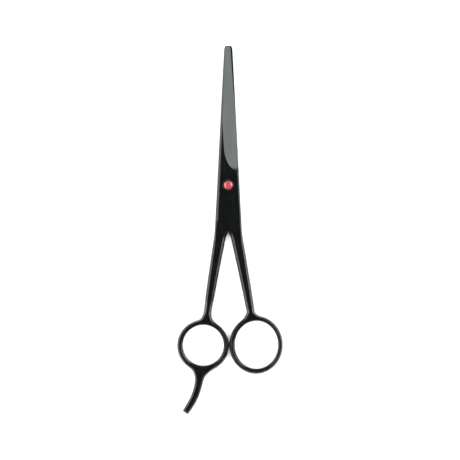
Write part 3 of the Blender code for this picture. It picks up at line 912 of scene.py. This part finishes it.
@dataclass
class Pivot:
    """The bolt, its stone, bush, washer and nut, with places read from the frame."""

    bolt_radius: float = 2.0 * MM
    running: float = 0.06 * MM
    key_flat: float = 1.55 * MM
    key_drop: float = 0.3 * MM
    key_file: float = 9.0 * MM
    stone_radius: float = 2.15 * MM
    stone_clearance: float = 0.05 * MM
    stone_sides: int = 16
    girdle_lift: float = 0.02 * MM
    girdle_height: float = 0.16 * MM
    cup_depth: float = 0.75 * MM
    head_clearance: float = 0.12 * MM
    head_rounding: float = 0.11 * MM
    tail_rounding: float = 0.2 * MM
    flange: float = 0.35 * MM
    bush_wall: float = 0.7 * MM
    nut_clearance: float = 0.15 * MM
    nut_rounding: float = 0.25 * MM
    spanner_hole: float = 0.45 * MM
    spanner_depth: float = 0.4 * MM
    spanner_place: float = 2.6 * MM
    overlap: float = 0.05 * MM  # of two shapes that are joined
    heights: Heights = field(default_factory=Heights)

    def __post_init__(self) -> None:
        """Reads the stack from the frame."""
        bolt_low, bolt_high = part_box("pivot_bolt")
        self.head_radius = bolt_high.x
        self.head_top = bolt_high.z
        self.tail = bolt_low.z
        self.bush_low, self.bush_high = (corner.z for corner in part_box("pivot_bush"))
        self.head_low = self.bush_high + self.running
        self.nut_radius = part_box("tension_nut")[1].x
        self.nut_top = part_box("tension_nut")[1].z
        self.washer_low, self.washer_high = (corner.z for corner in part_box("spring_washer"))
        self.washer_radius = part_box("spring_washer")[1].x
        self.stone_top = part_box("pivot_jewel")[1].z
        self.hole = self.bolt_radius + self.running
        self.barrel = self.hole + self.bush_wall

    # --- holes in the halves

    def bore_upper(self, half: Thing) -> None:
        """Bores and counterbores the thumb half for the bush and the bolt's head."""
        far = self.head_top + BEYOND
        combine(half, rod("bush_bore", self.barrel + self.running, -BEYOND, far), "DIFFERENCE")
        seat = self.bush_high - self.flange - self.running
        combine(half, rod("head_bore", self.head_radius + self.head_clearance, seat, far), "DIFFERENCE")

    def bore_lower(self, half: Thing) -> None:
        """Cuts the keyed hole and the nut's recess in the finger half, in its final place."""
        hole = rod("key_bore", self.hole, -BEYOND, self.heights.top)
        for side in (-1, 1):
            trim(hole, (side * (self.key_flat + self.running), 0, 0), (side, 0, 0))
        combine(half, hole, "DIFFERENCE")
        depth = self.washer_high + self.running
        combine(half, rod("nut_bore", self.nut_radius + self.nut_clearance, -BEYOND, depth), "DIFFERENCE")

    # --- pieces

    def bolt(self) -> Thing:
        """Turns the bolt, sinks its cup, rounds its rims and its tail, and files the key's flats.

        Returns:
            The finished bolt.
        """
        head = rod("pivot_bolt", self.head_radius, self.head_low, self.head_top)
        with editing(head):
            pick(head, lambda place: place.z > self.head_top - NEAR)
            bpy.ops.mesh.inset(thickness=self.head_radius - self.stone_radius - self.stone_clearance)
            bpy.ops.mesh.extrude_region_move(TRANSFORM_OT_translate={"value": (0, 0, -self.cup_depth)})
            pick_edges(head, self.is_head_rim)
            bpy.ops.mesh.bevel(offset=self.head_rounding, segments=4, affect="EDGES")
        journal = rod("journal", self.bolt_radius, self.tail, self.head_low + 2 * self.overlap)
        with editing(journal):
            pick_edges(journal, lambda edge: all(end.co.z < self.tail + NEAR for end in edge.verts))
            bpy.ops.mesh.bevel(offset=self.tail_rounding, segments=3, affect="EDGES")
        combine(head, journal, "UNION")
        key_top = self.heights.plate - self.key_drop
        for side in (-1, 1):
            left, right = sorted((side * self.key_flat, side * self.key_file))
            file = block("key_file", (left, -self.key_file, -BEYOND), (right, self.key_file, key_top))
            combine(head, file, "DIFFERENCE")
        smooth(head)
        return head

    def is_head_rim(self, edge: Edge) -> bool:
        """Whether an edge is the head's outer top rim or the cup's rim."""
        at_top = all(end.co.z > self.head_top - NEAR for end in edge.verts)
        return at_top and edge.calc_face_angle(0) > 1.0

    def stone(self) -> Thing:
        """Cuts the stone: a girdle, sixteen lower crown facets, eight upper ones and a table.

        Returns:
            The finished stone.
        """
        low = self.head_top - self.cup_depth + self.running
        girdle = self.head_top + self.girdle_lift
        rise = self.stone_top - girdle
        sides = self.stone_sides
        levels = (
            (sides // 2, 0.55, girdle + rise, 0.5),
            (sides, 0.82, girdle + rise * 0.62, 0.0),
            (sides, 1.0, girdle, 0.5),
            (sides, 0.97, girdle - self.girdle_height, 0.5),
            (sides, 0.7, low, 0.5),
        )
        rings = []
        for count, share, z, shift in levels:
            bpy.ops.mesh.primitive_circle_add(
                vertices=count, radius=self.stone_radius * share, location=(0, 0, z),
                rotation=(0, 0, 2 * pi * shift / count),
            )
            rings.append(bpy.context.object)
        deselect()
        for ring in rings:
            ring.select_set(True)
        bpy.context.view_layer.objects.active = rings[0]
        bpy.ops.object.join()
        stone = rings[0]
        stone.name = "pivot_jewel"
        bake_place(stone)
        with editing(stone):
            bpy.ops.mesh.select_all(action="SELECT")
            bpy.ops.mesh.convex_hull()
            bpy.ops.mesh.select_all(action="SELECT")
            bpy.ops.mesh.normals_make_consistent(inside=False)
        apply_modifier(
            stone, "BEVEL", width=0.02 * MM, segments=2, limit_method="ANGLE", angle_limit=radians(8),
        )
        smooth(stone, 8)
        return stone

    def bush(self) -> Thing:
        """Moulds the flanged bush.

        Returns:
            The finished bush.
        """
        bush = rod("pivot_bush", self.head_radius, self.bush_high - self.flange, self.bush_high)
        barrel = rod("barrel", self.barrel, self.bush_low, self.bush_high - self.overlap)
        combine(bush, barrel, "UNION")
        combine(bush, rod("bush_hole", self.hole, 0, self.heights.top + BEYOND), "DIFFERENCE")
        smooth(bush)
        return bush

    def washer(self) -> Thing:
        """Stamps the spring washer and breaks its edges.

        Returns:
            The finished washer.
        """
        washer = rod("spring_washer", self.washer_radius, self.washer_low, self.washer_high)
        combine(washer, rod("washer_hole", self.hole, 0, self.heights.top), "DIFFERENCE")
        apply_modifier(
            washer, "BEVEL", width=0.04 * MM, segments=2, limit_method="ANGLE", angle_limit=radians(40),
        )
        smooth(washer)
        return washer

    def nut(self) -> Thing:
        """Turns the closed nut with its rounded rim and threaded hole, and drills two spanner holes.

        Returns:
            The finished nut.
        """
        nut = rod("tension_nut", self.nut_radius, 0, self.nut_top)
        with editing(nut):
            pick_edges(nut, lambda edge: all(end.co.z < NEAR for end in edge.verts))
            bpy.ops.mesh.bevel(offset=self.nut_rounding, segments=4, affect="EDGES")
        thread = rod("thread", self.hole, self.tail - 0.1 * MM, self.heights.top)
        combine(nut, thread, "DIFFERENCE")
        for side in (-1, 1):
            hole = rod("spanner_hole", self.spanner_hole, -BEYOND, self.spanner_depth, sides=32)
            hole.location = (side * self.spanner_place, 0, 0)
            bake_place(hole)
            combine(nut, hole, "DIFFERENCE")
        smooth(nut)
        return nut


@dataclass
class RingStop:
    """The rubber stop in the side of the thumb ring."""

    stem_radius: float = 0.7 * MM
    clearance: float = 0.05 * MM
    reach: float = 0.24 * MM
    seat_depth: float = 0.75 * MM
    seat_mouth: float = 4.0 * MM
    overlap: float = 0.05 * MM  # of pad and stem
    rounding: float = 0.3 * MM

    def __post_init__(self) -> None:
        """Reads its place from the frame."""
        low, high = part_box("ring_stop")
        self.face, self.end = low.x - self.reach, high.x
        self.radius = (high.y - low.y) / 2
        self.middle = (low + high) / 2
        self.pad = self.seat_depth + self.reach
        self.length = self.end - self.face

    def lay(self, item: Thing, x: float) -> None:
        """Lays an upright piece along X with its foot at a place."""
        item.rotation_euler = (0, pi / 2, 0)
        item.location = (x, self.middle.y, self.middle.z)
        bake_place(item)

    def seat(self, half: Thing) -> None:
        """Cuts the seat and the stem's hole in the thumb ring."""
        wide, narrow = self.radius + self.clearance, self.stem_radius + self.clearance
        seat = rod("stop_seat", wide, -self.seat_mouth, self.pad + self.clearance, sides=64)
        stem = rod("stop_hole", narrow, 0, self.length + self.clearance, sides=48)
        for hole in (seat, stem):
            self.lay(hole, self.face)
            combine(half, hole, "DIFFERENCE")

    def build(self) -> Thing:
        """Moulds the stop: a crowned pad and its stem.

        Returns:
            The finished stop.
        """
        stop = rod("ring_stop", self.radius, 0, self.pad, sides=64)
        with editing(stop):
            pick_edges(stop, lambda edge: all(end.co.z < NEAR for end in edge.verts))
            bpy.ops.mesh.bevel(offset=self.rounding, segments=5, affect="EDGES")
        stem = rod("stop_stem", self.stem_radius, self.pad - self.overlap, self.length, sides=48)
        combine(stop, stem, "UNION")
        self.lay(stop, self.face)
        smooth(stop)
        return stop


# ------------------------------------------------------------------ studio


@dataclass(frozen=True)
class Softbox:
    """A rectangular light that faces one way and gives an even glow."""

    name: str
    place: tuple
    facing: tuple
    width: float
    height: float
    radiance: float
    mirrored: bool = True  # whether glossy faces show it

    def build(self) -> None:
        """Hangs the light and turns it."""
        light = bpy.data.lights.new(self.name, "AREA")
        light.shape = "RECTANGLE"
        light.size = self.width
        light.size_y = self.height
        light.energy = self.radiance * pi * self.width * self.height
        item = bpy.data.objects.new(self.name, light)
        bpy.context.scene.collection.objects.link(item)
        item.location = self.place
        item.rotation_euler = Vector(self.facing).to_track_quat("-Z", "Y").to_euler()
        item.visible_glossy = self.mirrored


@dataclass
class Studio:
    """Pale floor, two side softboxes, an overhead fill, a dim surrounding and the camera straight above."""

    across: float = 232.3 * MM  # what the camera sees, from side to side
    middle: tuple = (0.86 * MM, -22.6 * MM)
    camera_height: float = 1.2
    sensor: float = 36.0
    floor_size: float = 6.0

    def build(self) -> None:
        """Makes the floor, the lights, the world and the camera."""
        self.floor()
        self.lights()
        self.world()
        self.camera()

    def floor(self) -> None:
        """Lays the pale floor just under the shears."""
        bpy.ops.mesh.primitive_plane_add(size=self.floor_size, location=(0, 0, -0.02 * MM))
        floor = bpy.context.object
        floor.name = "studio_floor"
        nodes = Nodes("studio_floor")
        cloud = nodes.noise(nodes.place(), 3.0)
        nodes.tint(cloud, (0.90, 0.90, 0.90), (0.92, 0.92, 0.92))
        nodes.set(Roughness=0.9, Specular_IOR_Level=0.1)
        floor.data.materials.append(nodes.material)

    def lights(self) -> None:
        """Hangs the softboxes."""
        left, right, down = (-1.0, 0.0, 0.0), (1.0, 0.0, 0.0), (0.0, 0.0, -1.0)
        boxes = (
            Softbox("right_softbox", (1.0, 0.45, 0.85), left, width=1.45, height=1.5, radiance=3.1),
            Softbox("left_softbox", (-1.0, -0.05, 0.85), right, width=2.0, height=1.5, radiance=3.1),
            Softbox(
                "overhead_fill", (0.0, 0.0, 1.7), down, width=2.4, height=2.4, radiance=4.2, mirrored=False,
            ),
        )
        for box in boxes:
            box.build()

    def world(self) -> None:
        """Sets a dim grey surrounding, darker overhead, and plain colours in the picture."""
        world = bpy.data.worlds.new("studio")
        bpy.context.scene.world = world
        world.use_nodes = True
        tree = world.node_tree
        coordinates = tree.nodes.new("ShaderNodeTexCoord")
        parts = tree.nodes.new("ShaderNodeSeparateXYZ")
        ramp = tree.nodes.new("ShaderNodeValToRGB")
        ramp.color_ramp.elements[0].color = (0.30, 0.30, 0.30, 1)
        ramp.color_ramp.elements[1].color = (0.04, 0.04, 0.04, 1)
        ramp.color_ramp.elements[1].position = 0.8
        tree.links.new(coordinates.outputs["Generated"], parts.inputs["Vector"])
        tree.links.new(parts.outputs["Z"], ramp.inputs["Fac"])
        tree.links.new(ramp.outputs["Color"], tree.nodes["Background"].inputs["Color"])
        bpy.context.scene.view_settings.view_transform = "Standard"

    def camera(self) -> None:
        """Hangs the camera straight above, its top towards the tips."""
        data = bpy.data.cameras.new("studio_camera")
        data.sensor_width = self.sensor
        data.lens = self.sensor * self.camera_height / self.across
        camera = bpy.data.objects.new("studio_camera", data)
        bpy.context.scene.collection.objects.link(camera)
        camera.location = (*self.middle, self.camera_height)
        bpy.context.scene.camera = camera


# ------------------------------------------------------------------ assembly


THUMB_RING = Ring(
    x=13.98 * MM, y=-80.42 * MM, hole_x=10.93 * MM, hole_y=12.08 * MM, band=2.5 * MM, neck=2.3 * MM,
    hole_shift=(0.18 * MM, 0.04 * MM),
)
FINGER_RING = Ring(
    x=12.75 * MM, y=-80.80 * MM, hole_x=10.30 * MM, hole_y=10.30 * MM, band=2.65 * MM, neck=1.7 * MM,
    hole_shift=(-0.15 * MM, 0.2 * MM),
)
FINGER_REST = (
    Station(1.2 * MM, -14.2 * MM, 6.6 * MM, 0.0),
    Station(1.75 * MM, -16.4 * MM, 4.3 * MM, 4.0),
    Station(2.2 * MM, -19.2 * MM, 3.9 * MM, 9.0),
    Station(3.25 * MM, -23.4 * MM, 3.7 * MM, 20.0),
    Station(5.0 * MM, -27.5 * MM, 3.65 * MM, 29.0),
    Station(7.0 * MM, -30.8 * MM, 3.5 * MM, 33.0),
    Station(8.6 * MM, -33.2 * MM, 3.3 * MM, 35.0),
    Station(8.98 * MM, -33.8 * MM, 3.2 * MM, 35.0),
)


def make_halves(pivot: Pivot, stop: RingStop) -> None:
    """Makes both forgings and dresses them."""
    steel = CoatedSteel().build()
    thumb = Half("thumb_half_forging", THUMB_RING).build()
    pivot.bore_upper(thumb)
    stop.seat(thumb)
    smooth(thumb)
    dress(thumb, steel, Slot.COATED_STEEL, "thumb_half", "thumb_blade")
    lower = Half("finger_half_forging", FINGER_RING, rest=FINGER_REST)
    finger = lower.build()
    lower.turn_over(finger)
    pivot.bore_lower(finger)
    smooth(finger)
    dress(finger, steel, Slot.COATED_STEEL, "finger_half", "finger_blade")


def make_pivot(pivot: Pivot) -> None:
    """Makes the pieces of the pivot and dresses them."""
    black = TurnedSteel("black_screw_steel", (0.006, 0.006, 0.006), (0.012, 0.012, 0.012), 0.0).build()
    spring = TurnedSteel("spring_steel", (0.42, 0.42, 0.43), (0.55, 0.55, 0.56), 1.0).build()
    nylon = Moulded("natural_nylon", (0.62, 0.60, 0.54), (0.72, 0.70, 0.64), (0.38, 0.5)).build()
    dress(pivot.bolt(), black, Slot.SCREW_STEEL, "finger_half", "pivot_bolt")
    dress(pivot.stone(), RedStone().build(), Slot.RED_STONE, "finger_half", "pivot_jewel")
    dress(pivot.bush(), nylon, Slot.NYLON, "thumb_half", "pivot_bush")
    dress(pivot.washer(), spring, Slot.SPRING_STEEL, "finger_half", "spring_washer")
    dress(pivot.nut(), black, Slot.SCREW_STEEL, "nut", "tension_nut")


def make_stop(stop: RingStop) -> None:
    """Makes the rubber stop and dresses it."""
    rubber = Moulded("black_rubber", (0.006, 0.006, 0.006), (0.014, 0.014, 0.014), (0.6, 0.8)).build()
    dress(stop.build(), rubber, Slot.STOP_RUBBER, "thumb_half", "ring_stop")


def main() -> None:
    """Builds the shears in order, then the studio."""
    logging.basicConfig(level=logging.INFO, format="%(message)s")
    pivot = Pivot()
    stop = RingStop()
    make_halves(pivot, stop)
    make_pivot(pivot)
    make_stop(stop)
    Studio().build()


if __name__ == "__main__":
    main()
